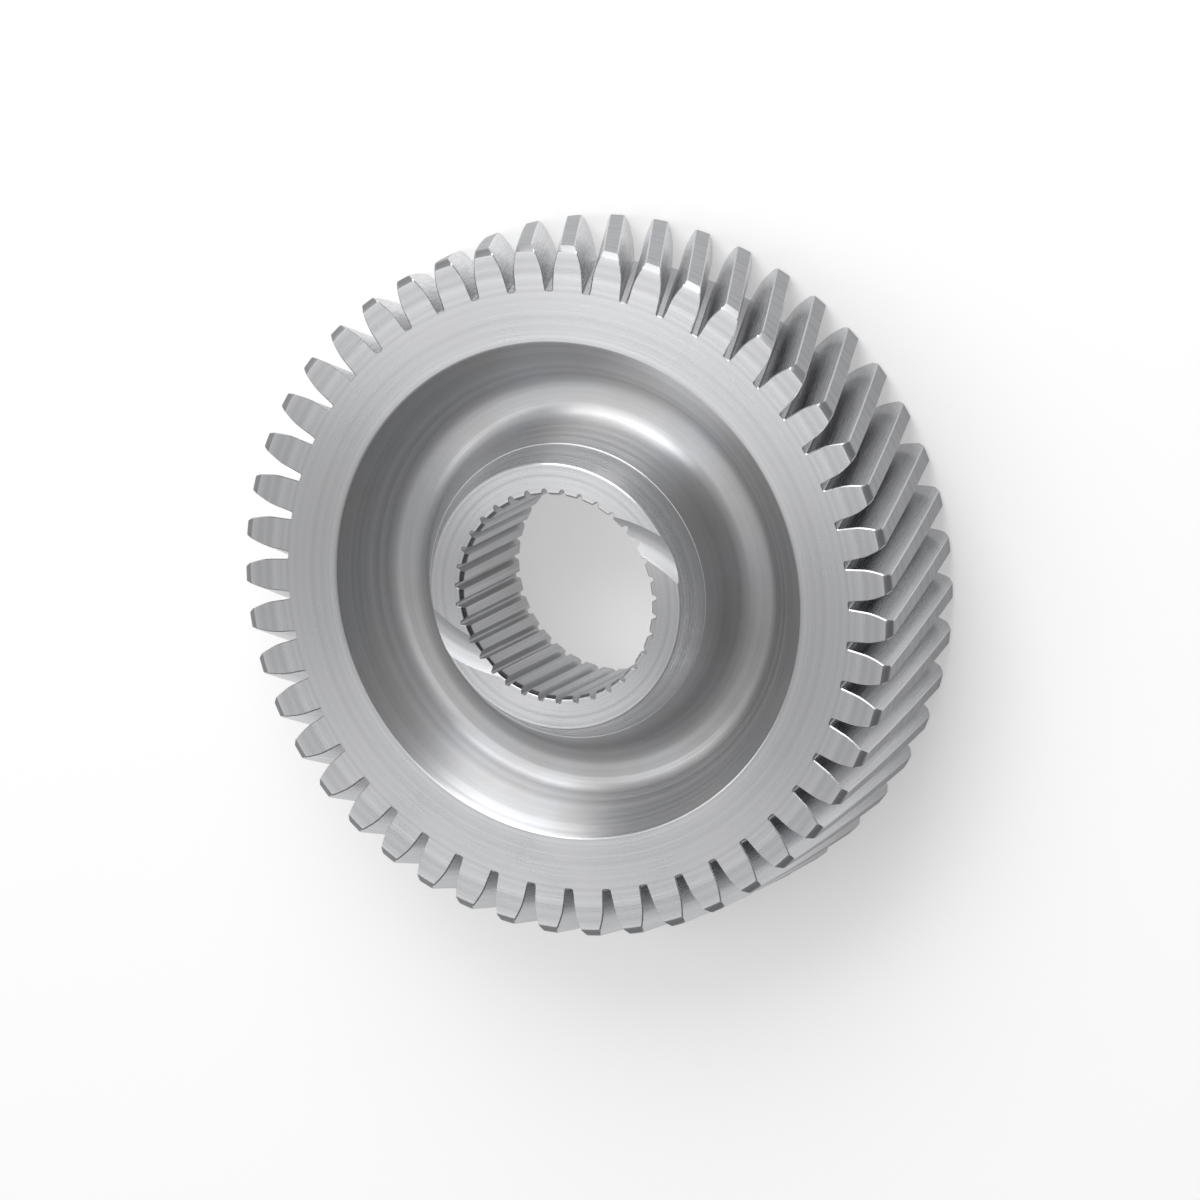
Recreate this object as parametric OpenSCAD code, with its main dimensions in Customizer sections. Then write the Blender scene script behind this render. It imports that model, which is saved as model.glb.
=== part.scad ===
// Helical gear wheel with a splined bore, lying on its rim with the boss up.
// One solid: Z is the gear's axis, and Z = 0 is the rim's back face.

/* [Teeth] */
// Number of teeth round the rim
teeth = 47; // [46:1:60]
// Pitch diameter divided by the number of teeth, across the end face
tooth_module = 2.435; // [2.4:0.005:2.9]
// Height of a tooth above the pitch circle
addendum = 1.48; // [0.8:0.02:2]
// Depth of a tooth space below the pitch circle
dedendum = 6.37; // [4:0.01:7]
// Pressure angle across the end face
pressure_angle = 20.5; // [17:0.5:25]
// Helix angle at the pitch circle, left-hand
helix_angle = 20.55; // [0:0.05:30]
// Width of a tooth space at its root
space_foot_w = 1.32; // [0.9:0.02:1.6]
// Corner radius at the root of a tooth space
root_fillet = 0.3; // [0.1:0.05:0.4]
// How far the chamfer on the tooth ends cuts down from the tips
tip_chamfer_down = 1; // [0.3:0.05:2]
// How far the chamfer on the tooth ends reaches along the teeth
tip_chamfer_along = 0.8; // [0.3:0.05:2]
// Angle from X to the first tooth space on the front face
tooth_turn = 1.09; // [0:0.01:8]

/* [Rim and web] */
// Width of the toothed rim along the axis
face_w = 26.2; // [22:0.1:40]
// Thickness of the rim between the tooth roots and the recess
rim_t = 8.75; // [5:0.05:10]
// Depth of the recess on each side of the web
recess_depth = 7.5; // [5:0.1:8.4]
// Slope of the recess's wall under the rim, from the face
rim_wall_slope = 45; // [40:1:60]
// Radius of the fillets along both sides of the recess's floor
recess_fillet = 4.1; // [2:0.1:5.5]

/* [Hub] */
// Diameter of the hub where it comes out of the recess, level with the rim's face
hub_d = 50; // [47:0.1:53]
// Slope of the hub's side inside the recess, from the axis
hub_slope = 25.6; // [10:0.1:32]
// Width of the ledge round the boss's foot
hub_ledge = 0.15; // [0.05:0.05:0.5]
// Diameter of the boss's front face
boss_d = 45.1; // [40:0.1:46.5]
// How far the boss stands above the rim's front face
boss_h = 5.1; // [3:0.1:8]
// How far the hub's back face lies inside the rim's back face
hub_inset = 6.35; // [2:0.05:7.4]

/* [Spline] */
// Number of grooves in the splined bore
spline_teeth = 35; // [24:1:48]
// Diameter across the bore's lands
spline_minor_d = 34.1; // [33:0.1:35]
// Diameter across the bottoms of the spline grooves
spline_major_d = 36.5; // [35.8:0.1:37.5]
// Radius of a spline groove's round bottom
spline_root = 0.38; // [0.2:0.02:0.5]
// Slope of a spline groove's flanks, from its middle line
spline_flank = 22.5; // [10:0.5:30]
// How far the bore's end chamfers open the bore
bore_chamfer_out = 0.5; // [0.2:0.05:1]
// How far the bore's end chamfers reach along the bore
bore_chamfer_along = 0.95; // [0.3:0.05:2]
// Angle from X to the first spline groove
spline_turn = 1.44; // [0:0.01:10]

/* [Oil grooves] */
// Radius of the arc that each oil groove on the boss's face follows
oil_path_r = 25.8; // [23:0.1:28]
// Distance of that arc's centre from the gear's axis
oil_offset = 15; // [13:0.1:17]
// Width of an oil groove
oil_w = 4.9; // [2:0.1:6]
// Depth of an oil groove
oil_depth = 0.4; // [0.2:0.05:1.5]

/* [Hidden] */
// Distance that cutting shapes reach past the faces they cut
over = 1;
// Steps along a tooth, down a flank, round a root corner and round a spline groove's bottom.
// The flanks lie on the true involute at each step.
tooth_steps = 4;
flank_steps = 3;
corner_steps = 2;
bottom_steps = 6;
// Steps round a full turn, where a round surface is drawn as a mesh
round_steps = 180;

// Tooth circles, and the twist of the teeth over a millimetre of rim
pitch_r = teeth * tooth_module / 2;
tip_r = pitch_r + addendum;
root_r = pitch_r - dedendum;
base_r = pitch_r * cos(pressure_angle);
twist_rate = tan(helix_angle) / pitch_r * 180 / PI;

// The hub from end to end
hub_r = hub_d / 2;
boss_r = boss_d / 2;
boss_top = face_w + boss_h;
bore_r = spline_minor_d / 2;

// The recess's edge at the rim, and the two ends of its floor
recess_r = root_r - rim_t;
fillet_out_x = recess_r - recess_depth / tan(rim_wall_slope) - recess_fillet * tan(rim_wall_slope / 2);
fillet_in_x = hub_r + recess_depth * tan(hub_slope) + recess_fillet * tan(45 - hub_slope / 2);

// Middle of the recess's floor
floor_x = (fillet_in_x + fillet_out_x) / 2;

// The round section that gives an oil groove its width and depth
oil_section_r = (pow(oil_w / 2, 2) + pow(oil_depth, 2)) / (2 * oil_depth);

// Angle that an involute has unwound by, where its pressure angle is a
function unwound(a) = tan(a) * 180 / PI - a;

// Half the angle that a tooth space takes up at radius r, on the involute
function space_half(r) = 90 / teeth - unwound(pressure_angle) + unwound(acos(base_r / r));

// One side of a tooth space, from its root to past the tips
function space_side() = [
    for (i = [0 : corner_steps])
        let (a = 90 * i / corner_steps)
        [root_r + root_fillet * (1 - cos(a)), space_foot_w / 2 - root_fillet * (1 - sin(a))],
    for (i = [0 : flank_steps])
        let (r = base_r + (tip_r + over - base_r) * i / flank_steps, a = space_half(r))
        [r * cos(a), r * sin(a)],
];

// Points in reverse order on the other side of the X axis
function mirrored(points) = [
    for (i = [len(points) - 1 : -1 : 0]) [points[i][0], -points[i][1]]
];

// One twisted tooth space, long enough to run out of both faces
module tooth_space() {
    length = face_w + 2 * over;
    side = space_side();
    translate([0, 0, -over])
        rotate([0, 0, twist_rate * (face_w + over)])
        linear_extrude(height = length, twist = twist_rate * length, slices = tooth_steps, $fs = length)
        polygon(concat(side, mirrored(side)));
}

// What one recess takes from the turned section: its floor is at Z = 0 and its mouth is up
module recess_section(height) {
    wall = recess_fillet * sin(rim_wall_slope);
    rise = recess_fillet * (1 - cos(rim_wall_slope));
    polygon([
        [fillet_in_x, 0],
        [fillet_out_x, 0],
        [fillet_out_x + wall, rise],
        [fillet_out_x + wall + (height - rise) / tan(rim_wall_slope), height],
        [hub_r, height],
        [hub_r, recess_depth],
        [fillet_in_x - recess_fillet * cos(hub_slope), recess_fillet * (1 - sin(hub_slope))],
    ]);
    for (x = [fillet_in_x, fillet_out_x])
        translate([x, recess_fillet])
            circle(r = recess_fillet, $fn = round_steps);
}

// The turned section of the whole wheel, on the X side of its axis
module wheel_section() {
    difference() {
        polygon([
            [bore_r + bore_chamfer_out, hub_inset],
            [floor_x, hub_inset],
            [floor_x, 0],
            [tip_r - tip_chamfer_down, 0],
            [tip_r, tip_chamfer_along],
            [tip_r, face_w - tip_chamfer_along],
            [tip_r - tip_chamfer_down, face_w],
            [hub_r, face_w],
            [hub_r - hub_ledge, face_w],
            [boss_r, boss_top],
            [bore_r + bore_chamfer_out, boss_top],
            [bore_r, boss_top - bore_chamfer_along],
            [bore_r, hub_inset + bore_chamfer_along],
        ]);
        translate([0, face_w - recess_depth])
            recess_section(recess_depth + over);
        translate([0, recess_depth])
            mirror([0, 1])
            recess_section(recess_depth + over);
    }
}

// One groove of the spline, straight along the bore
module spline_groove() {
    middle = spline_major_d / 2 - spline_root;
    inner = bore_r - over;
    half = spline_root / cos(spline_flank) + (middle - inner) * tan(spline_flank);
    bottom = [
        for (i = [-bottom_steps / 2 : bottom_steps / 2])
            let (a = (90 - spline_flank) * 2 * i / bottom_steps)
            [middle + spline_root * cos(a), spline_root * sin(a)]
    ];
    translate([0, 0, hub_inset - over])
        linear_extrude(height = boss_top - hub_inset + 2 * over)
        polygon(concat([[inner, -half]], bottom, [[inner, half]]));
}

// A quarter ring that crosses the boss's face from its edge to the bore
module oil_groove() {
    translate([oil_offset, 0, boss_top - oil_depth])
        rotate([0, 0, 90])
        rotate_extrude(angle = 90, $fn = round_steps)
        translate([oil_path_r, oil_section_r])
        circle(r = oil_section_r, $fn = round_steps);
}

module gear_wheel() {
    color([0.62, 0.63, 0.65])
    difference() {
        rotate_extrude($fn = round_steps)
            wheel_section();
        for (i = [0 : teeth - 1])
            rotate([0, 0, tooth_turn + i * 360 / teeth])
                tooth_space();
        for (i = [0 : spline_teeth - 1])
            rotate([0, 0, spline_turn + i * 360 / spline_teeth])
                spline_groove();
        for (turn = [0, 180])
            rotate([0, 0, turn])
                oil_groove();
    }
}

gear_wheel();
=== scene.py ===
# %% [markdown]
# # A helical gear wheel as one closed surface
# The real wheel is a single piece of steel. It is turned from a blank, its teeth are cut on a slant
# round the rim, its bore is broached with straight grooves, and two shallow oil grooves are cut
# across the boss. Here it is one mesh too. It is worked out as rings of points round the axis, and
# each zone of the wheel has its own number of points to a ring: many where there are teeth, few on
# the plain turned web. Numpy makes each zone as a whole array, so a size can be changed in one line.

# %% Load the imported wheel
import math

import bpy
import numpy as np
from mathutils import Matrix, Vector


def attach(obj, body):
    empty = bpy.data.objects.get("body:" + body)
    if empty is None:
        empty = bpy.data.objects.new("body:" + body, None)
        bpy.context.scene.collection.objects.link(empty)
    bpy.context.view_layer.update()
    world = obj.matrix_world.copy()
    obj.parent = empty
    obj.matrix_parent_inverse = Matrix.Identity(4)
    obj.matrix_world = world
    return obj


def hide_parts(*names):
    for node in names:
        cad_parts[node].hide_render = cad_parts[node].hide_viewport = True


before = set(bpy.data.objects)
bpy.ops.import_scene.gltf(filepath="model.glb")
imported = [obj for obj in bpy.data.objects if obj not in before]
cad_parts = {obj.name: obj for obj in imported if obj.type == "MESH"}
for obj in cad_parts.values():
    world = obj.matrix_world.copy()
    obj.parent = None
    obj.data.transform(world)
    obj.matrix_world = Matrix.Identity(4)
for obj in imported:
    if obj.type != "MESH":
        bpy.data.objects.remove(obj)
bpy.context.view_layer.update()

# %% [markdown]
# ## Sizes
# Lengths are in millimetres until the mesh is made, and angles are in radians. They are the sizes of
# the real wheel, so the mesh lies where the solid one does. Every edge of a machined part is broken
# a little by the deburring brush. Such an edge is only about 0.1 mm wide, but it is what catches the
# light, so all the edges get one, except those of the oil grooves, which stay sharp.

# %% Sizes of the wheel
TAU = 2 * math.pi
MM = 0.001

# The teeth: their number and pitch, the helix, and the cone that cuts their tips at both ends.
TEETH, MODULE = 47, 2.435
ADDENDUM, DEDENDUM = 1.48, 6.37
FACE_W = 26.2
PITCH_R = TEETH * MODULE / 2
TIP_R = PITCH_R + ADDENDUM
ROOT_R = PITCH_R - DEDENDUM
PRESSURE = math.radians(20.5)
BASE_R = PITCH_R * math.cos(PRESSURE)
TWIST = math.tan(math.radians(20.55)) / PITCH_R
TOOTH_TURN = math.radians(1.09)
FOOT_W, ROOT_FILLET = 1.32, 0.3
TIP_DOWN, TIP_ALONG = 1.0, 0.8

# The recess on each side of the web, the hub and its boss.
RIM_DEEP = 8.75
RECESS_R = ROOT_R - RIM_DEEP
RECESS_DEPTH, RECESS_FILLET = 7.5, 4.1
WALL_SLOPE = math.radians(45)
HUB_R, HUB_LEDGE, HUB_INSET = 25.0, 0.15, 6.35
HUB_SLOPE = math.radians(25.6)
BOSS_R, BOSS_RISE = 22.55, 5.1
BOSS_TOP = FACE_W + BOSS_RISE

# The bore with its grooves, and the cone at both of its ends.
GROOVES = 35
BORE_R, GROOVE_R, GROOVE_ROUND = 17.05, 18.25, 0.38
GROOVE_SLOPE = math.radians(22.5)
GROOVE_TURN = math.radians(1.44)
BORE_OUT, BORE_ALONG = 0.5, 0.95

# The oil grooves, and how wide the edges are broken: on the faces, at the foot of the tip's cone,
# at the bore's ends, along the spline's lands, and at the ledge.
OIL_PATH_R, OIL_OFFSET, OIL_W, OIL_DEPTH = 25.8, 15.0, 4.9, 0.4
EDGE, CONE_EDGE, BORE_EDGE, LAND_EDGE = 0.15, 0.1, 0.08, 0.06
LEDGE_EDGE, LEDGE_DROP = 0.03, 0.05

print(f"tip circle {2 * TIP_R:.2f} mm, root circle {2 * ROOT_R:.2f} mm,",
      f"twist {math.degrees(TWIST):.4f} degrees a mm")

# %% [markdown]
# ## Steel, and the marks of its tools
# All six finishes are the same case-hardened steel: a grey metal that mirrors what is round it,
# blurred by its fine marks. The marks follow the tool, so they are noise drawn out along its path.
# The trick is to feed the noise a coordinate that does not change along the path. For the lathe that
# is the distance from the axis and the height, so every mark closes to a ring by itself.

# %% A small helper for node trees
class Nodes:
    """Adds shader nodes by type and links their sockets: a value that is a node or a socket is
    linked, and any other value is written into the socket. An input is given by its name, or by i
    and its number."""

    def __init__(self, tree):
        self.tree = tree

    def add(self, kind, settings=None, **inputs):
        node = self.tree.nodes.new(kind)
        for key, value in (settings or {}).items():
            setattr(node, key, value)
        for key, value in inputs.items():
            by_number = key[0] == "i" and key[1:].isdigit()
            self.put(node.inputs[int(key[1:]) if by_number else key.replace("_", " ")], value)
        return node

    def put(self, socket, value):
        if isinstance(value, bpy.types.Node):
            value = next(o for o in value.outputs if o.enabled)
        if isinstance(value, bpy.types.NodeSocket):
            self.tree.links.new(value, socket)
        else:
            socket.default_value = value

    def parts(self, vector):
        return self.add("ShaderNodeSeparateXYZ", None, Vector=vector).outputs[:3]

    def vector(self, **parts):
        return self.add("ShaderNodeCombineXYZ", None, **parts)

    def maths(self, operation, a, b=0.0):
        return self.add("ShaderNodeMath", {"operation": operation}, i0=a, i1=b)

    def spread(self, value, low, high, to_low, to_high):
        return self.add("ShaderNodeMapRange", None, Value=value, From_Min=low, From_Max=high,
                        To_Min=to_low, To_Max=to_high)

    def noise(self, where, scale, detail):
        return self.add("ShaderNodeTexNoise", None, Vector=where, Scale=scale, Detail=detail).outputs[0]

    def mix(self, share, a, b, blend="MIX"):
        """Two colours by share. A Mix node keeps its colours in the inputs 6 and 7 and the output 2."""
        settings = {"data_type": "RGBA", "blend_type": blend}
        return self.add("ShaderNodeMix", settings, i0=share, i6=a, i7=b).outputs[2]


def empty_material(name):
    """A new material, and the helper for its empty node tree."""
    material = bpy.data.materials.new(name)
    material.use_nodes = True
    material.node_tree.nodes.clear()
    return material, Nodes(material.node_tree)


# %% [markdown]
# The coordinates come first. Lathe: radius and height. Grinding wheel: the point turned back by the
# twist at its height, which undoes the helix, so a line along a tooth becomes a line straight up.
# Broach: the point itself, with its height pressed together. Milling cutter: the radius round the
# oil groove's own centre. Each way also says in which direction the tool went there, because a
# highlight on such marks is drawn out across them.

# %% Ways along the metal: where the marks are, and which way the tool went
TOOTH_PRESSED, BORE_PRESSED = 1 / 60, 1 / 80


def round_centre(n, x, y):
    """The distance from a centre, the root of x squared and y squared, and the way round it,
    (-y, x, 0), which is at right angles to the radius."""
    square = n.maths("ADD", n.maths("MULTIPLY", x, x), n.maths("MULTIPLY", y, y))
    return n.maths("SQRT", square), n.vector(X=n.maths("MULTIPLY", y, -1.0), Y=x)


def pressed(n, place, share):
    """The point with its height times a share, which draws a pattern out along the height."""
    return n.add("ShaderNodeVectorMath", {"operation": "MULTIPLY"}, i0=place, i1=(1, 1, share))


def along_lathe(n, place):
    """Marks at (radius, height, 0); the tool went round the axis."""
    x, y, z = n.parts(place)
    radius, went = round_centre(n, x, y)
    return n.vector(X=radius, Y=z), went


def along_tooth(n, place):
    """Marks at the point turned about the axis by TWIST times its height, with the height pressed.
    The tool climbed one metre for TWIST times the radius to the side, (y TWIST, -x TWIST, 1)."""
    x, y, z = n.parts(place)
    twist = TWIST / MM
    back = n.add("ShaderNodeVectorRotate", {"rotation_type": "Z_AXIS"}, Vector=place,
                 Angle=n.maths("MULTIPLY", z, twist))
    went = n.vector(X=n.maths("MULTIPLY", y, twist), Y=n.maths("MULTIPLY", x, -twist), Z=1.0)
    return pressed(n, back, TOOTH_PRESSED), went


def along_bore(n, place):
    """Marks at the point with its height pressed; the tool went straight up."""
    return pressed(n, place, BORE_PRESSED), n.vector(Z=1.0)


def along_groove(n, place):
    """Marks at (radius, 0, 0) round the centre of the oil groove on the point's own side: there x
    is less OIL_OFFSET where y is above zero, and more where it is below."""
    x, y, _ = n.parts(place)
    x = n.maths("SUBTRACT", x, n.maths("MULTIPLY", n.maths("SIGN", y), OIL_OFFSET * MM))
    radius, went = round_centre(n, x, y)
    return n.vector(X=radius), went


# %% [markdown]
# A finish then mixes two sizes of marks. The fine ones are narrower than the eye can part: they
# make the blur uneven, and they are why a highlight on turned metal is drawn out across the marks.
# The coarse ones show as faint lines of a slightly other grey, and as a bump of some thousandths of
# a millimetre. A slow cloud of noise adds what handling, oil and heat leave on a real part: patches
# a little duller and a little warmer than the rest.

# %% One finish of the steel
LOW, HIGH = 0.3, 0.7
CLOUD_SCALE, WARM = 70.0, (0.90, 0.86, 0.80, 1)
BLUR_SPREAD, FINE_HEIGHT = 0.05, 0.15


def steel(name, way, grey, blur, coarse, fine, depth, contrast, warm):
    """A steel with a mean grey, a mean blur, coarse and fine marks so many to a metre with a depth
    in metres and a contrast, and a share of warm patches. Noise lies mostly between LOW and HIGH.
    Highlights are drawn out across the marks, a quarter turn from the way the tool went."""
    material, n = empty_material(name)
    place = n.add("ShaderNodeTexCoord").outputs["Object"]
    path, went = way(n, place)
    wide, thin = n.noise(path, coarse, 1.0), n.noise(path, fine, 1.0)
    cloud = n.noise(place, CLOUD_SCALE, 3.0)

    dark, light = ([c * (1 + sign * contrast) for c in grey] + [1] for sign in (-1, 1))
    lines = n.mix(n.spread(wide, LOW, HIGH, 0, 1), dark, light)
    colour = n.mix(n.spread(cloud, 0.4, HIGH, 0, warm), lines, WARM, "MULTIPLY")
    rough = n.maths("ADD", n.spread(thin, LOW, HIGH, blur - BLUR_SPREAD, blur + BLUR_SPREAD),
                    n.spread(cloud, LOW, HIGH, -0.03, 0.04))
    height = n.maths("ADD", wide, n.maths("MULTIPLY", thin, FINE_HEIGHT))
    bump = n.add("ShaderNodeBump", None, Strength=1.0, Distance=depth, Height=height)
    to_world = {"vector_type": "VECTOR", "convert_from": "OBJECT", "convert_to": "WORLD"}
    tangent = n.add("ShaderNodeVectorTransform", to_world, Vector=went)
    shader = n.add("ShaderNodeBsdfPrincipled", None, Base_Color=colour, Metallic=1.0,
                   Roughness=rough, Anisotropic=0.8, Anisotropic_Rotation=0.25, Normal=bump,
                   Tangent=tangent)
    n.put(n.add("ShaderNodeOutputMaterial").inputs[0], shader)
    return material


# %% [markdown]
# The six finishes differ in their greys and in how coarse their marks are. The end faces are clean
# turned metal. The recess and the tips of the teeth were not touched after hardening, so they are
# darker. The flanks are ground, with the finest marks of all. The bore and the oil grooves carry
# the marks of the broach and of the milling cutter.

# %% The six finishes
finishes = [
    steel("turned_face", along_lathe, (0.58, 0.585, 0.60), blur=0.30,
          coarse=900.0, fine=4200.0, depth=14e-6, contrast=0.09, warm=0.15),
    steel("hardened_skin", along_lathe, (0.47, 0.475, 0.49), blur=0.38,
          coarse=700.0, fine=2600.0, depth=28e-6, contrast=0.09, warm=0.6),
    steel("ground_flank", along_tooth, (0.56, 0.565, 0.58), blur=0.27,
          coarse=1500.0, fine=6000.0, depth=4e-6, contrast=0.04, warm=0.15),
    steel("broached_bore", along_bore, (0.50, 0.505, 0.52), blur=0.34,
          coarse=1800.0, fine=5200.0, depth=10e-6, contrast=0.08, warm=0.3),
    steel("milled_groove", along_groove, (0.48, 0.485, 0.50), blur=0.32,
          coarse=900.0, fine=3600.0, depth=14e-6, contrast=0.08, warm=0.2),
    steel("hardened_tip", along_lathe, (0.36, 0.365, 0.38), blur=0.36,
          coarse=900.0, fine=3200.0, depth=20e-6, contrast=0.09, warm=0.3),
]
TURNED, HARDENED, GROUND, BROACHED, MILLED, TIP = range(6)
print("finishes:", [m.name for m in finishes])

# %% [markdown]
# ## The outline of the teeth
# A gear tooth's flank is an involute: the path of the end of a taut string as it unwinds from the
# base circle. Half the angle that a tooth space takes up at radius r is a formula, so a flank needs
# no drawing, only a list of radii. A tooth is narrower at its tip, so seen from the axis the outline
# never doubles back, and each point of a ring has an angle of its own.

# %% One half of a tooth space, from its middle to the middle of the next tooth
CURVE_POINTS, LAND_POINTS = 7, 3


def unwound(angle):
    """How far the string has unwound where its pressure angle is this: the tangent less the angle."""
    return np.tan(angle) - angle


def space_half(r):
    """Half the angle of a tooth space at radius r: a quarter of the pitch at the pitch circle, and
    more outside it by as much as the involute has unwound since."""
    return math.pi / (2 * TEETH) - unwound(PRESSURE) + unwound(np.arccos(np.minimum(BASE_R / r, 1)))


def half_space(tip):
    """Points (x, y) of half a space, with X along its middle line: flat root, round corner, straight
    foot, involute up to the tip circle, a broken edge, and the land to the middle of the tooth."""
    a = np.radians(np.linspace(0, 90, CURVE_POINTS))
    root = np.column_stack([np.r_[ROOT_R, ROOT_R + ROOT_FILLET * (1 - np.cos(a))],
                            np.r_[0, FOOT_W / 2 - ROOT_FILLET * (1 - np.sin(a))]])
    r = BASE_R + (tip - EDGE - BASE_R) * np.linspace(0, 1, CURVE_POINTS)
    flank = np.column_stack([r * np.cos(space_half(r)), r * np.sin(space_half(r))])
    foot = (root[-1] + flank[0]) / 2
    land_from = space_half(tip) + EDGE / tip
    a = land_from + (math.pi / TEETH - land_from) * np.linspace(0, 1, LAND_POINTS)
    return np.vstack([root, foot, flank, np.column_stack([tip * np.cos(a), tip * np.sin(a)])])


def whole_ring(half, count, turn):
    """Mirrors half a pattern in its last point's ray and repeats it count times round the axis.
    Gives radii and angles of the whole ring, in order."""
    r, a = np.hypot(*half.T), np.arctan2(half[:, 1], half[:, 0])
    r = np.r_[r, r[-2:0:-1]]
    a = np.r_[a, TAU / count - a[-2:0:-1]]
    angles = turn + a + TAU / count * np.arange(count)[:, None]
    return np.tile(r, count), angles.ravel()


print(2 * len(half_space(TIP_R)) - 2, "points to a tooth,", len(half_space(TIP_R)), "of them to a half")

# %% [markdown]
# ## Breaking the edges
# An edge is broken by drawing the same outline twice: on the end face it is pulled a little into the
# metal, and the full outline starts just as far below the face. The pull goes along the line that
# halves the corner at each point, longer at a sharp corner, so the narrow strip keeps one width.

# %% Pull a ring into the metal
def pulled_in(r, a, by):
    """Moves each point of a closed ring along its corner's halving line, by the offset over the
    cosine of half the turn, to the left of the way that the ring runs."""
    p = np.column_stack([r * np.cos(a), r * np.sin(a)])
    ahead = np.roll(p, -1, axis=0) - p
    ahead /= np.linalg.norm(ahead, axis=1)[:, None]
    left = np.column_stack([-ahead[:, 1], ahead[:, 0]])
    middle = left + np.roll(left, 1, axis=0)
    middle /= np.linalg.norm(middle, axis=1)[:, None]
    p = p + by * middle / np.sum(middle * left, axis=1)[:, None]
    return np.hypot(*p.T), np.arctan2(p[:, 1], p[:, 0])


def ring_at(r, a, z):
    """A ring's points in space, all at the height z."""
    return np.column_stack([r * np.cos(a), r * np.sin(a), np.full(len(r), z)])


# %% [markdown]
# ## The toothed rim
# A helical tooth keeps one outline all the way through. The outline only turns, by the same angle
# for each millimetre along the axis, so the whole rim is one outline in a stack of rings. At both
# ends the blank was turned to a cone, which cuts the tips shorter: there the outline is worked out
# again for a smaller tip circle, and its corner then lies exactly on the cone. On both end faces a
# plain circle just inside the roots ends the zone.

# %% The rim as a stack of rings, from the front face round the teeth to the back face
FACE_RING = ROOT_R - 0.6
RIM_STEPS = 17


def cone_tip(depth):
    """Tip radius where the end cone is cut, this far below the face."""
    return TIP_R - TIP_DOWN * (1 - depth / TIP_ALONG)


def toothed_rim():
    """Rings of the rim: a plain circle on the front face, the outline with its edge broken, the cone,
    then the flanks turned by TWIST times the depth, and the same again at the back."""
    depth = np.r_[0, EDGE, TIP_ALONG - CONE_EDGE, TIP_ALONG + CONE_EDGE]
    tip = np.r_[cone_tip(depth[:3]), TIP_R]
    pull = np.r_[EDGE, 0, 0, 0]
    along = np.linspace(depth[-1], FACE_W - depth[-1], RIM_STEPS)[1:-1]
    depth = np.r_[depth, along, FACE_W - depth[::-1]]
    tip = np.r_[tip, np.full(len(along), TIP_R), tip[::-1]]
    pull = np.r_[pull, 0 * along, pull[::-1]]
    rings = []
    for d, t, p in zip(depth, tip, pull):
        r, a = whole_ring(half_space(t), TEETH, TOOTH_TURN + TWIST * d)
        if p:
            r, a = pulled_in(r, a, p)
        rings.append((r, a, FACE_W - d))
    first, last = rings[0], rings[-1]
    rings.insert(0, (np.full(len(first[0]), FACE_RING), first[1], FACE_W))
    rings.append((np.full(len(last[0]), FACE_RING), last[1], 0.0))
    return np.array([ring_at(*ring) for ring in rings])


rim = toothed_rim()
print("rim:", rim.shape[0], "rings of", rim.shape[1], "points")

# %% [markdown]
# ## The splined bore
# The grooves of the bore are straight, with round bottoms, and were pulled through by a broach. The
# lands between them carry the shaft. The outline is made as that of the teeth: half a groove, then
# its mirror image, all round. A cone opens both ends of the bore, and there the lands are worked
# out for a larger bore, so that their corners lie on the cone. A plain circle just outside the
# grooves ends the zone at both ends.

# %% One half of a groove, and the bore as a stack of rings
HUB_RING = GROOVE_R + 0.4
BORE_STEPS, BORE_CLEAR = 8, 2


def half_groove(bore_r):
    """Points (x, y) of half a groove, with X along its middle line: an arc of radius GROOVE_ROUND
    that ends where the flank is its tangent, the flank, a broken edge, and half a land."""
    middle = GROOVE_R - GROOVE_ROUND
    a = np.linspace(0, math.pi / 2 - GROOVE_SLOPE, CURVE_POINTS)
    arc = np.column_stack([middle + GROOVE_ROUND * np.cos(a), GROOVE_ROUND * np.sin(a)])
    x = np.linspace(arc[-1, 0], bore_r + LAND_EDGE, LAND_POINTS)[1:]
    y = GROOVE_ROUND / math.cos(GROOVE_SLOPE) + (middle - x) * math.tan(GROOVE_SLOPE)
    land_from = math.atan2(y[-1], x[-1]) + LAND_EDGE / bore_r
    a = land_from + (math.pi / GROOVES - land_from) * np.linspace(0, 1, LAND_POINTS)
    land = np.column_stack([bore_r * np.cos(a), bore_r * np.sin(a)])
    return np.vstack([arc, np.column_stack([x, y]), land])


def splined_bore():
    """Rings of the bore from the hub's back face up to the boss's face: a plain circle, the outline
    with its edge broken, the cone, the straight grooves, and the same again at the top."""
    depth = np.r_[0, BORE_EDGE, BORE_ALONG - BORE_EDGE, BORE_ALONG + BORE_EDGE]
    radius = np.r_[BORE_R + BORE_OUT * (1 - depth[:3] / BORE_ALONG), BORE_R]
    pull = np.r_[-BORE_EDGE, 0, 0, 0]
    along = np.linspace(HUB_INSET + BORE_CLEAR, BOSS_TOP - BORE_CLEAR, BORE_STEPS)
    z = np.r_[HUB_INSET + depth, along, BOSS_TOP - depth[::-1]]
    radius = np.r_[radius, np.full(len(along), BORE_R), radius[::-1]]
    pull = np.r_[pull, 0 * along, pull[::-1]]
    rings = []
    for height, b, p in zip(z, radius, pull):
        r, a = whole_ring(half_groove(b), GROOVES, GROOVE_TURN)
        if p:
            r, a = pulled_in(r, a, p)
        rings.append((r, a, height))
    rings.insert(0, (np.full(len(rings[0][0]), HUB_RING), rings[0][1], HUB_INSET))
    rings.append((np.full(len(rings[-1][0]), HUB_RING), rings[-1][1], BOSS_TOP))
    return np.array([ring_at(*ring) for ring in rings])


bore = splined_bore()
print("bore:", bore.shape[0], "rings of", bore.shape[1], "points")

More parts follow.
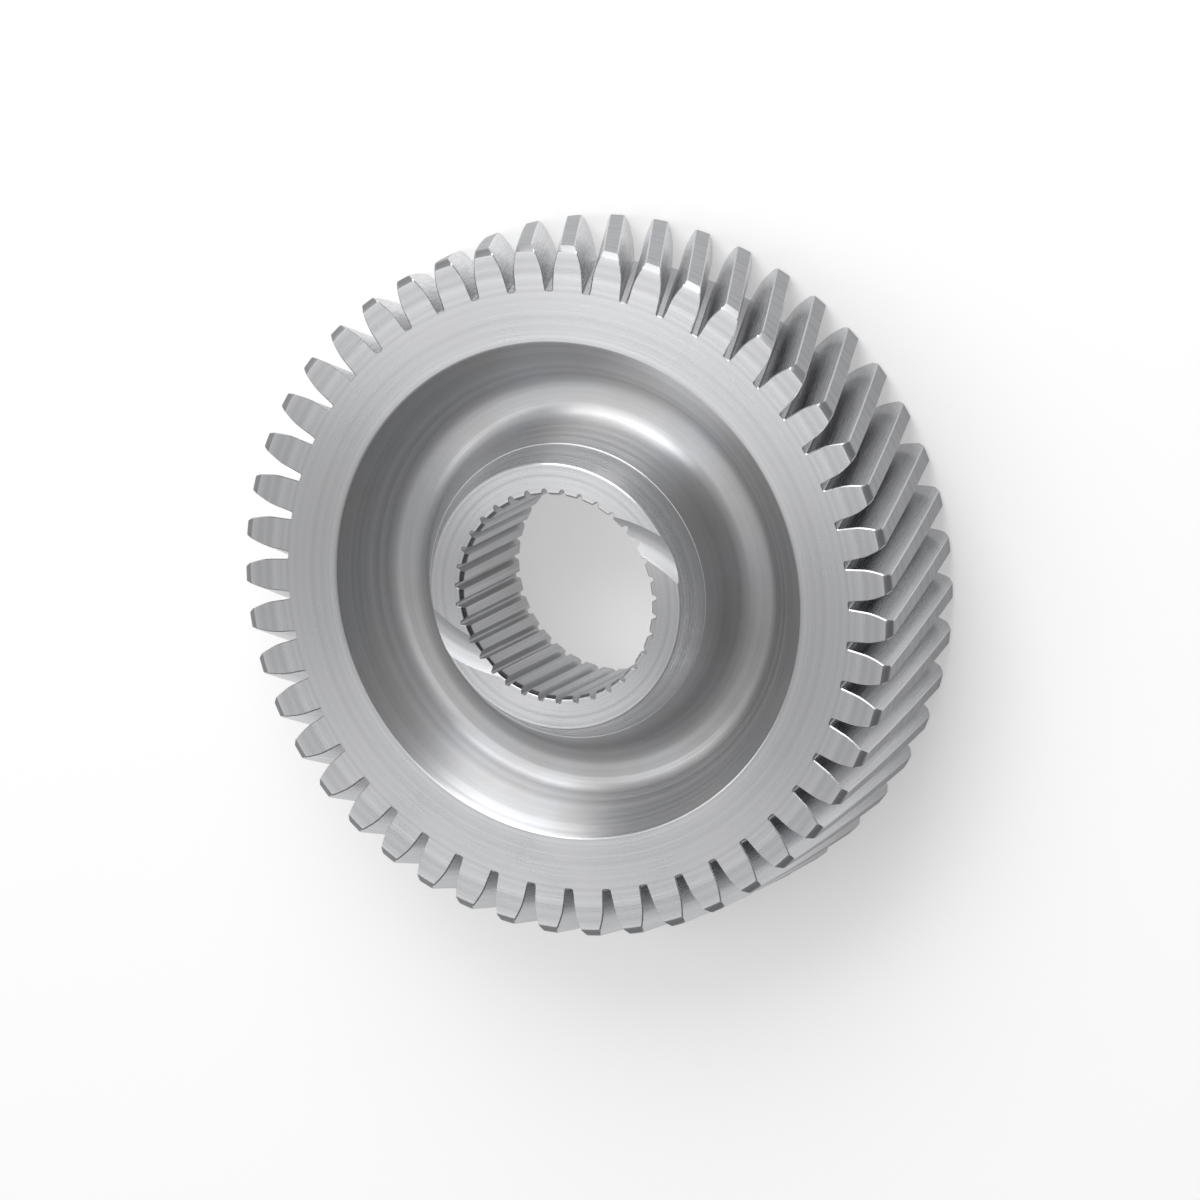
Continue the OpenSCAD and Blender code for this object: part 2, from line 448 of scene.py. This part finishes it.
# %% [markdown]
# ## The turned web
# Everything between the teeth and the bore was made on a lathe, so it is a section carried round the
# axis. The section is a list of points (radius, height). The recess has a wall at 45 degrees under
# the rim, a flat floor, and the hub's side, with a fillet on both sides of the floor. A fillet is an
# arc whose centre lies one fillet radius above the floor, and it ends where the wall is its tangent.

# %% Parts of the section that the front and the back share
FILLET_OUT = (RECESS_R - RECESS_DEPTH / math.tan(WALL_SLOPE)
              - RECESS_FILLET * math.tan(WALL_SLOPE / 2))
FILLET_IN = (HUB_R + RECESS_DEPTH * math.tan(HUB_SLOPE)
             + RECESS_FILLET * math.tan(math.pi / 4 - HUB_SLOPE / 2))
WEB_OUT, WEB_IN = FACE_RING - 0.7, HUB_RING + 0.5
WEB_POINTS = 480


def arc_points(x, z, start, end, count):
    """Points on the arc of radius RECESS_FILLET round (x, z), from one angle to the other."""
    a = np.linspace(start, end, count)
    return np.column_stack([x + RECESS_FILLET * np.cos(a), z + RECESS_FILLET * np.sin(a)])


def recess_section():
    """Section of a recess from its floor's middle line out to the face, floor at height 0: the fillet
    under the rim, the sloping wall, its broken edge, and the rim's face out to WEB_OUT."""
    out = arc_points(FILLET_OUT, RECESS_FILLET, -math.pi / 2, -math.pi / 2 + WALL_SLOPE, 9)
    side = EDGE * math.sqrt(0.5)
    mouth = np.array([[RECESS_R - side, RECESS_DEPTH - side], [RECESS_R + EDGE, RECESS_DEPTH],
                      [(RECESS_R + FACE_RING) / 2, RECESS_DEPTH], [WEB_OUT, RECESS_DEPTH]])
    return np.vstack([out, mouth])


# %% The whole front and back of the web
def front_section():
    """From the bore out over the boss: its face, broken edge and cone, the ledge at its foot, the
    hub's side, the inner fillet, and the rest of the recess."""
    foot = HUB_R - HUB_LEDGE
    lean = (foot - BOSS_R) / (BOSS_TOP - FACE_W)
    floor = FACE_W - RECESS_DEPTH
    boss = np.array([[WEB_IN, BOSS_TOP], [(HUB_RING + BOSS_R) / 2, BOSS_TOP],
                     [BOSS_R - EDGE, BOSS_TOP], [BOSS_R + EDGE * lean, BOSS_TOP - EDGE],
                     [(BOSS_R + foot) / 2, (BOSS_TOP + FACE_W) / 2], [foot, FACE_W],
                     [HUB_R - LEDGE_EDGE, FACE_W], [HUB_R + LEDGE_EDGE, FACE_W - LEDGE_DROP]])
    inner = arc_points(FILLET_IN, floor + RECESS_FILLET, math.pi + HUB_SLOPE, 1.5 * math.pi, 12)
    return np.vstack([boss, inner, recess_section() + [0, floor]])


def back_section():
    """From the rim's back face in to the hub's back face: the recess of the front mirrored, as far as
    the point of the inner fillet that lies level with the hub's back face, then its broken edge."""
    end = math.pi + math.asin((RECESS_FILLET - RECESS_DEPTH + HUB_INSET + EDGE) / RECESS_FILLET)
    inner = arc_points(FILLET_IN, RECESS_FILLET, end, 1.5 * math.pi, 9)
    up = np.vstack([inner, recess_section()])
    up[:, 1] = RECESS_DEPTH - up[:, 1]
    pad = np.array([[WEB_IN, HUB_INSET], [up[0, 0] - 2 * EDGE, HUB_INSET]])
    return np.vstack([pad, up])[::-1]


def turned(section):
    """Carries a section round the axis: one ring of WEB_POINTS points for each of its points."""
    a = TAU * np.arange(WEB_POINTS) / WEB_POINTS
    r, z = section[:, :1], section[:, 1:]
    height = np.broadcast_to(z, (len(z), WEB_POINTS))
    return np.stack([r * np.cos(a), r * np.sin(a), height], axis=2)


front, back = turned(front_section()), turned(back_section())
print("web:", len(front), "rings in front and", len(back), "at the back, of", WEB_POINTS, "points")

# %% [markdown]
# ## Joining the zones
# Within a zone every ring has the same points, so a face goes from ring to ring. Two zones meet on a
# flat face, as two circles with different numbers of points. A strip of triangles closes the gap, as
# a zip does: the points of both circles are put in one order by angle, and each point makes one
# triangle with the last point before it on its own circle and the last one on the other.

# %% Faces of a zone, and the zip between two zones
def ring_faces(start, rings, count):
    """Four corners for each place on a zone's grid: this ring, the next ring, and their next points."""
    i, j = np.meshgrid(np.arange(rings - 1), np.arange(count), indexing="ij")
    k = (j + 1) % count
    corners = [i * count + j, (i + 1) * count + j, (i + 1) * count + k, i * count + k]
    return start + np.stack(corners, axis=2).reshape(-1, 4)


def zip_faces(a, b, at):
    """Triangles between ring a and ring b, both lists of point numbers in order round the axis. A
    running maximum over the places in the shared order gives the last point of each ring so far."""
    both = np.r_[a, b]
    angle = np.arctan2(at[both, 1], at[both, 0])
    order = np.argsort(angle, kind="stable")
    of_b = order >= len(a)
    place = np.arange(len(both))

    def last_before(mask):
        last = np.maximum.accumulate(np.where(mask, place, -1))
        last = np.where(last < 0, last[-1], last)
        return both[order[np.roll(last, 1)]]

    return np.column_stack([last_before(~of_b), last_before(of_b), both[order]])


# %% Put the four zones together
zones = [rim, back, bore, front]
starts = np.cumsum([0] + [z.shape[0] * z.shape[1] for z in zones])
points = np.vstack([z.reshape(-1, 3) for z in zones])


def last_ring(n):
    """Numbers of the points on a zone's last ring."""
    return starts[n + 1] - zones[n].shape[1] + np.arange(zones[n].shape[1])


def first_ring(n):
    """Numbers of the points on a zone's first ring."""
    return starts[n] + np.arange(zones[n].shape[1])


quads = [ring_faces(starts[n], z.shape[0], z.shape[1]) for n, z in enumerate(zones)]
zips = [zip_faces(last_ring(n), first_ring((n + 1) % 4), points) for n in range(4)]
print("faces:", [len(q) for q in quads], "and in the zips:", [len(t) for t in zips])

# %% [markdown]
# The wheel was finished in several ways, and each leaves its own marks: the lathe leaves rings, the
# grinding wheel leaves lines along a flank, and the broach leaves lines along the bore. So each face
# is given the number of its finish here, while it is still known which ring and point it comes from.

# %% Say which finish each face has
SAME_HEIGHT = 1e-6


def rim_finish():
    """Ground on the flanks, turned on the end faces, and left with its dark skin on the tips, where
    the blank shows."""
    rings, per_tooth = rim.shape[0] - 1, rim.shape[1] // TEETH
    from_middle = np.arange(rim.shape[1]) % per_tooth - per_tooth // 2
    land = (from_middle >= 1 - LAND_POINTS) & (from_middle < LAND_POINTS - 1)
    finish = np.where(land, TIP, GROUND)[None, :].repeat(rings, axis=0)
    finish[[0, -1]] = TURNED
    return finish.ravel()


def web_finish(zone, section):
    """The recess, from the hub's edge to the rim's edge, keeps its dark skin and its coarse marks. It
    is all that slopes between those edges, and the level floor between the two fillets."""
    r = (section[:-1, 0] + section[1:, 0]) / 2
    slopes = np.abs(section[:-1, 1] - section[1:, 1]) > SAME_HEIGHT
    floor = (r > FILLET_IN - 1) & (r < FILLET_OUT + 1)
    inside = (r > HUB_R) & (r < RECESS_R) & (slopes | floor)
    return np.where(inside, HARDENED, TURNED).repeat(zone.shape[1])


def bore_finish():
    """Broached all the way, between turned ends."""
    finish = np.full((bore.shape[0] - 1, bore.shape[1]), BROACHED)
    finish[[0, -1]] = TURNED
    return finish.ravel()


face_finish = np.concatenate([rim_finish(), web_finish(back, back_section()),
                              bore_finish(), web_finish(front, front_section())])
print("faces of each finish:", np.bincount(face_finish).tolist())

# %% [markdown]
# Numpy's arrays go into Blender's mesh in one call each. The mesh is then checked as a workshop
# would: every edge must lie between exactly two faces, and its volume must be above zero, which
# shows that the faces look outwards.

# %% Make the mesh
def mesh_from(name, points, quads, tris, finish):
    """A mesh of quads and triangles, with a finish number for each quad; the triangles are turned."""
    mesh = bpy.data.meshes.new(name)
    for steel_finish in finishes:
        mesh.materials.append(steel_finish)
    corners = np.r_[quads.ravel(), tris.ravel()].astype(np.int32)
    first = np.r_[4 * np.arange(len(quads)), 4 * len(quads) + 3 * np.arange(len(tris))]
    numbers = np.r_[finish, np.full(len(tris), TURNED)]
    mesh.vertices.add(len(points))
    mesh.vertices.foreach_set("co", (points * MM).astype(np.float32).ravel())
    mesh.loops.add(len(corners))
    mesh.loops.foreach_set("vertex_index", corners)
    mesh.polygons.add(len(first))
    mesh.polygons.foreach_set("loop_start", first.astype(np.int32))
    mesh.polygons.foreach_set("material_index", numbers.astype(np.int32))
    mesh.polygons.foreach_set("use_smooth", np.ones(len(first), bool))
    mesh.update(calc_edges=True)
    mesh.validate()
    return mesh


def closed_and_outward(mesh):
    """(open edges, volume in cubic centimetres) of a mesh. The volume is the sum over the triangles
    of a sixth of the corner vectors' triple product, which is positive if the faces look outwards."""
    co = np.empty(3 * len(mesh.vertices), np.float32)
    mesh.vertices.foreach_get("co", co)
    mesh.calc_loop_triangles()
    tri = np.empty(3 * len(mesh.loop_triangles), np.int32)
    mesh.loop_triangles.foreach_get("vertices", tri)
    a, b, c = np.moveaxis(co.reshape(-1, 3)[tri.reshape(-1, 3)].astype(float), 1, 0)
    loops = np.empty(len(mesh.loops), np.int32)
    mesh.loops.foreach_get("edge_index", loops)
    uses = np.bincount(loops, minlength=len(mesh.edges))
    return int((uses != 2).sum()), 1e6 * np.sum(a * np.cross(b, c)) / 6


blank = mesh_from("gear_wheel_steel", points, np.vstack(quads), np.vstack(zips), face_finish)
print("open edges and volume in cm3:", closed_and_outward(blank))
wheel = bpy.data.objects.new("gear_wheel_steel", blank)
bpy.context.scene.collection.objects.link(wheel)

# %% [markdown]
# ## The oil grooves
# Two shallow grooves carry oil across the boss's face to the bore. A ball-nosed cutter leaves such a
# groove: its bottom is round, its two edges are arcs round one centre, and it runs out through the
# boss's edge and the bore's cone. Its edges cross the rings of the mesh at a slant, so it is cut as
# in the workshop, with a tool: a bent bar with the groove's own section, and a Boolean modifier.

# %% The cutter, and both cuts
CUTTER_R = ((OIL_W / 2) ** 2 + OIL_DEPTH ** 2) / (2 * OIL_DEPTH)
CUTTER_HALF, CUTTER_TOP = 27, 3


def groove_cutter(turn):
    """A quarter ring round a centre OIL_OFFSET off the axis: its section is the bottom of a circle of
    radius CUTTER_R, CUTTER_HALF degrees to each side, closed by a flat top clear of the boss."""
    a = np.radians(np.linspace(-CUTTER_HALF, CUTTER_HALF, 19))
    section = np.column_stack([OIL_PATH_R + CUTTER_R * np.sin(a), CUTTER_R * (1 - np.cos(a))])
    section = np.vstack([section, [section[-1, 0], CUTTER_TOP], [section[0, 0], CUTTER_TOP]])
    path = np.linspace(math.pi / 2, math.pi, 91)[:, None]
    x, y = OIL_OFFSET + section[:, 0] * np.cos(path), section[:, 0] * np.sin(path)
    z = BOSS_TOP - OIL_DEPTH + section[:, 1] + 0 * x
    c, s = math.cos(turn), math.sin(turn)
    grid = np.stack([c * x - s * y, s * x + c * y, z], axis=2)
    n, total = len(section), z.size
    ends = [list(range(n))[::-1], list(range(total - n, total))]
    mesh = bpy.data.meshes.new("groove_cutter")
    mesh.from_pydata((grid.reshape(-1, 3) * MM).tolist(), [],
                     ring_faces(0, len(grid), n).tolist() + ends)
    for steel_finish in finishes:
        mesh.materials.append(steel_finish)
    mesh.polygons.foreach_set("material_index", np.full(len(mesh.polygons), MILLED, np.int32))
    mesh.polygons.foreach_set("use_smooth", np.ones(len(mesh.polygons), bool))
    mesh.update()
    return mesh


def cut(piece, tool_mesh):
    """Takes the tool's solid away from the piece, and puts the result in the piece's own mesh."""
    tool = bpy.data.objects.new("groove_cutter", tool_mesh)
    bpy.context.scene.collection.objects.link(tool)
    change = piece.modifiers.new("cut", "BOOLEAN")
    change.operation, change.solver, change.object = "DIFFERENCE", "EXACT", tool
    shaped = piece.evaluated_get(bpy.context.evaluated_depsgraph_get())
    result = bpy.data.meshes.new_from_object(shaped)
    piece.modifiers.clear()
    bpy.data.objects.remove(tool)
    piece.data = result


for turn in (0, math.pi):
    cutter = groove_cutter(turn)
    print("cutter: open edges and volume", closed_and_outward(cutter))
    cut(wheel, cutter)
print("wheel: open edges and volume in cm3:", closed_and_outward(wheel.data),
      "triangles:", len(wheel.data.loop_triangles))

# %% [markdown]
# Light bends smoothly over a fillet but breaks at an edge. An edge that turns by more than 17
# degrees is marked sharp, and a Weighted Normal modifier lets each corner take its direction from
# the largest face there, so that the flat faces stay flat right up to their broken edges.

# %% Shade the edges, and put the piece in the wheel's place
wheel.data.name = "gear_wheel_steel"
wheel.data.set_sharp_from_angle(angle=math.radians(17))
shade = wheel.modifiers.new("flat faces stay flat", "WEIGHTED_NORMAL")
shade.keep_sharp = True
shade.weight = 100
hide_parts("gear_wheel")
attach(wheel, "root")

# %% [markdown]
# ## The floor
# The drawing stands on white paper. Lamps strong enough to turn a grey floor white would burn out
# the metal too, so the floor adds a little light of its own, only for rays that come from the
# camera or from a mirror, such as the metal. It lights nothing else, and the soft shadow stays.

# %% A plain pale floor
FLOOR_GREY, FLOOR_GLOW = 0.64, 0.4
FLOOR_HALF, FLOOR_DROP = 3, 0.00005


def pale_floor():
    """A matt grey, plus a glow for the rays of the camera, of mirrors and of glass."""
    material, n = empty_material("pale_floor")
    path = n.add("ShaderNodeLightPath")
    seen = n.maths("ADD", path.outputs["Is Camera Ray"], path.outputs["Is Glossy Ray"])
    seen = n.maths("MINIMUM", n.maths("ADD", seen, path.outputs["Is Transmission Ray"]), 1.0)
    glow = n.add("ShaderNodeEmission", None, Strength=n.maths("MULTIPLY", seen, FLOOR_GLOW))
    matt = n.add("ShaderNodeBsdfDiffuse", None, Color=(FLOOR_GREY, FLOOR_GREY, FLOOR_GREY, 1))
    both = n.add("ShaderNodeAddShader", None, i0=matt, i1=glow)
    n.put(n.add("ShaderNodeOutputMaterial").inputs[0], both)
    return material


def plain_floor():
    """A square that reaches FLOOR_HALF metres to each side, just under the wheel."""
    corners = [(-1, -1), (1, -1), (1, 1), (-1, 1)]
    mesh = bpy.data.meshes.new("floor")
    mesh.from_pydata([(FLOOR_HALF * x, FLOOR_HALF * y, -FLOOR_DROP) for x, y in corners],
                     [], [(0, 1, 2, 3)])
    floor = bpy.data.objects.new("floor", mesh)
    bpy.context.scene.collection.objects.link(floor)
    mesh.materials.append(pale_floor())
    return floor


plain_floor()

# %% [markdown]
# ## The camera
# The drawing is not in perspective: all its circles are ellipses of one shape. So the camera is
# orthographic, and only its direction and its scale matter. The ratio of an ellipse's axes gives
# the tilt, 26.4 degrees off the gear's axis. The roll puts the axis to the lower left in the
# picture, and the bearing turns the teeth and the oil grooves to where they are drawn.

# %% The camera, in the drawing's own view
TILT = math.radians(26.43)
BEARING = math.radians(3.18)
ROLL = math.radians(-116.44)
FRAME_PIXELS, PIXEL = 1200, 0.1662 * MM
SHIFT_RIGHT, SHIFT_DOWN = 31.90, 9.48
CAMERA_AWAY = 0.6

toward = Vector((math.sin(TILT) * math.sin(BEARING), -math.sin(TILT) * math.cos(BEARING),
                 math.cos(TILT)))
level = Vector((math.cos(BEARING), math.sin(BEARING), 0))
upright = toward.cross(level)
right = math.cos(ROLL) * level + math.sin(ROLL) * upright
up = toward.cross(right)
aim = Vector((0, 0, FACE_W * MM)) + PIXEL * (SHIFT_RIGHT * right - SHIFT_DOWN * up)

camera = bpy.data.objects.new("camera", bpy.data.cameras.new("camera"))
bpy.context.scene.collection.objects.link(camera)
camera.data.type = "ORTHO"
camera.data.ortho_scale = FRAME_PIXELS * PIXEL
camera.data.clip_start, camera.data.clip_end = 0.01, 10
turned_to_view = Matrix((right, up, toward)).transposed().to_4x4()
camera.matrix_world = Matrix.Translation(aim + CAMERA_AWAY * toward) @ turned_to_view
bpy.context.scene.camera = camera
print("frame is", round(FRAME_PIXELS * PIXEL, 4), "m wide;",
      "right", [round(v, 3) for v in right], "up", [round(v, 3) for v in up])

# %% [markdown]
# ## The light
# Bare metal shows its surroundings more than itself, so the light is built as a room. Its light
# falls off evenly from the picture's left to its right, which gives every round form a light and a
# dark side. The key lamp stands at the upper left, so the shadow falls to the lower right. All the
# flat faces are one mirror for this camera, so a long strip lamp stands just beside the place that
# they mirror: the turned rings draw it out to the fans of light that turned metal shows.

# %% The room and the lamps
BACKGROUND = 0.92


def room(bright_way, dark, bright, start, end):
    """World light that depends on the angle to one bright direction: dark where the cosine is below
    start, bright where it is above end, and an even slope between. Where the camera itself looks
    past the floor's edge, it sees BACKGROUND, which is the floor's near white."""
    world = bpy.data.worlds.new("room")
    bpy.context.scene.world = world
    world.use_nodes = True
    world.node_tree.nodes.clear()
    n = Nodes(world.node_tree)
    way = n.add("ShaderNodeTexCoord").outputs["Generated"]
    cosine = n.add("ShaderNodeVectorMath", {"operation": "DOT_PRODUCT"}, i0=way,
                   i1=tuple(bright_way.normalized())).outputs["Value"]
    by_camera = n.add("ShaderNodeLightPath").outputs["Is Camera Ray"]
    strength = n.maths("MAXIMUM", n.spread(cosine, start, end, dark, bright),
                       n.maths("MULTIPLY", by_camera, BACKGROUND))
    light = n.add("ShaderNodeBackground", None, Color=(1, 1, 1, 1), Strength=strength)
    n.put(n.add("ShaderNodeOutputWorld").inputs[0], light)


def soft_lamp(name, way, distance, size, brightness):
    """A flat lamp, (width, height) in metres, that looks at the wheel from the given direction. Its
    power in watts is its area times pi times how bright it looks, with white as 1."""
    light = bpy.data.lights.new(name, "AREA")
    light.shape = "RECTANGLE"
    light.size, light.size_y = size
    light.energy = math.pi * size[0] * size[1] * brightness
    lamp = bpy.data.objects.new(name, light)
    bpy.context.scene.collection.objects.link(lamp)
    way = way.normalized()
    lamp.location = way * distance
    lamp.rotation_mode = "QUATERNION"
    lamp.rotation_quaternion = way.to_track_quat("Z", "Y")


mirrored = Vector((-toward.x, -toward.y, toward.z))
room(0.6 * toward - 0.8 * right, dark=0.104, bright=0.608, start=-0.1, end=0.95)
soft_lamp("key", toward + 0.9 * up - 0.5 * right, distance=1.0, size=(0.8, 0.8), brightness=3.5)
soft_lamp("strip", mirrored + 0.3 * up, distance=0.8, size=(0.2, 0.9), brightness=2.1)
bpy.context.scene.view_settings.view_transform = "Standard"
